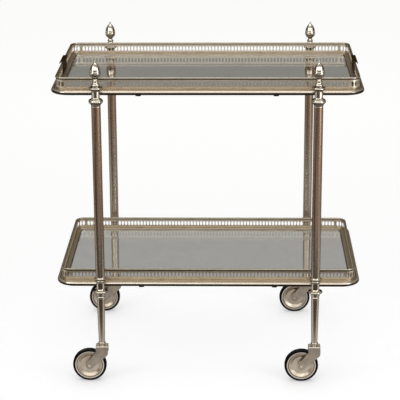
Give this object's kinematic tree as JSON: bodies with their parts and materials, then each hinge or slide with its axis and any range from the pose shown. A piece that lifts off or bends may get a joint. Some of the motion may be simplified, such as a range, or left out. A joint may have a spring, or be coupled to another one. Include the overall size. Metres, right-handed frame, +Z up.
{
  "type": "serving trolley",
  "caption": "Two tier serving trolley: turned posts carry trays with pierced galleries and glass shelves, the upper tray lifts off, and trailing casters swivel and roll.",
  "frame": {"origin": "on the floor under the middle of the trolley", "axes": "+Z up, +X along the long sides, -Y towards the front long side"},
  "size_m": [0.714, 0.482, 0.7761],
  "materials": {
    "silver_plate": "polished silver plate, lightly tarnished",
    "shelf_glass": "polished",
    "fork_plate": "satin plated",
    "wheel_alloy": "satin",
    "tyre_rubber": "matt grey",
    "steel": "plain"
  },
  "bodies": {
    "frame": {"upper_rail": "silver_plate", "lower_rail": "silver_plate", "rest_tabs": "silver_plate", "rail_screws": "steel", "lower_deck": "silver_plate", "lower_glass": "shelf_glass", "lower_gallery": "silver_plate", "lower_gallery_wire": "silver_plate", "tie_rods": "steel", "stem_sockets": "steel", "upper_spool_front_left": "silver_plate", "upper_spool_front_right": "silver_plate", "upper_spool_rear_left": "silver_plate", "upper_spool_rear_right": "silver_plate", "lower_spool_front_left": "silver_plate", "lower_spool_front_right": "silver_plate", "lower_spool_rear_left": "silver_plate", "lower_spool_rear_right": "silver_plate", "column_front_left": "silver_plate", "column_front_right": "silver_plate", "column_rear_left": "silver_plate", "column_rear_right": "silver_plate", "finial_front_left": "silver_plate", "finial_front_right": "silver_plate", "finial_rear_left": "silver_plate", "finial_rear_right": "silver_plate", "leg_front_left": "silver_plate", "leg_front_right": "silver_plate", "leg_rear_left": "silver_plate", "leg_rear_right": "silver_plate"},
    "upper_tray": {"tray_deck": "silver_plate", "upper_glass": "shelf_glass", "upper_gallery": "silver_plate", "upper_gallery_wire": "silver_plate", "grip_left": "silver_plate", "grip_right": "silver_plate", "grip_rivets": "silver_plate"},
    "caster_front_left": {"fork_front_left": "fork_plate", "stem_front_left": "steel", "axle_front_left": "steel"},
    "roller_front_left": {"wheel_front_left": "wheel_alloy", "tyre_front_left": "tyre_rubber"},
    "caster_front_right": {"fork_front_right": "fork_plate", "stem_front_right": "steel", "axle_front_right": "steel"},
    "roller_front_right": {"wheel_front_right": "wheel_alloy", "tyre_front_right": "tyre_rubber"},
    "caster_rear_left": {"fork_rear_left": "fork_plate", "stem_rear_left": "steel", "axle_rear_left": "steel"},
    "roller_rear_left": {"wheel_rear_left": "wheel_alloy", "tyre_rear_left": "tyre_rubber"},
    "caster_rear_right": {"fork_rear_right": "fork_plate", "stem_rear_right": "steel", "axle_rear_right": "steel"},
    "roller_rear_right": {"wheel_rear_right": "wheel_alloy", "tyre_rear_right": "tyre_rubber"}
  },
  "joints": [
    {"name": "tray_lift", "type": "slide", "parent": "frame", "child": "upper_tray", "axis": [0, 0, 1], "range_m": [0, 0.12]},
    {"name": "swivel_front_left", "type": "hinge", "parent": "frame", "child": "caster_front_left", "pos_m": [-0.251, -0.224, 0.0915], "axis": [0, 0, 1], "continuous": true},
    {"name": "roll_front_left", "type": "hinge", "parent": "caster_front_left", "child": "roller_front_left", "pos_m": [-0.281, -0.224, 0.04], "axis": [0, 1, 0], "continuous": true},
    {"name": "swivel_front_right", "type": "hinge", "parent": "frame", "child": "caster_front_right", "pos_m": [0.251, -0.224, 0.0915], "axis": [0, 0, 1], "continuous": true},
    {"name": "roll_front_right", "type": "hinge", "parent": "caster_front_right", "child": "roller_front_right", "pos_m": [0.221, -0.224, 0.04], "axis": [0, 1, 0], "continuous": true},
    {"name": "swivel_rear_left", "type": "hinge", "parent": "frame", "child": "caster_rear_left", "pos_m": [-0.251, 0.224, 0.0915], "axis": [0, 0, 1], "continuous": true},
    {"name": "roll_rear_left", "type": "hinge", "parent": "caster_rear_left", "child": "roller_rear_left", "pos_m": [-0.281, 0.224, 0.04], "axis": [0, 1, 0], "continuous": true},
    {"name": "swivel_rear_right", "type": "hinge", "parent": "frame", "child": "caster_rear_right", "pos_m": [0.251, 0.224, 0.0915], "axis": [0, 0, 1], "continuous": true},
    {"name": "roll_rear_right", "type": "hinge", "parent": "caster_rear_right", "child": "roller_rear_right", "pos_m": [0.221, 0.224, 0.04], "axis": [0, 1, 0], "continuous": true}
  ]
}
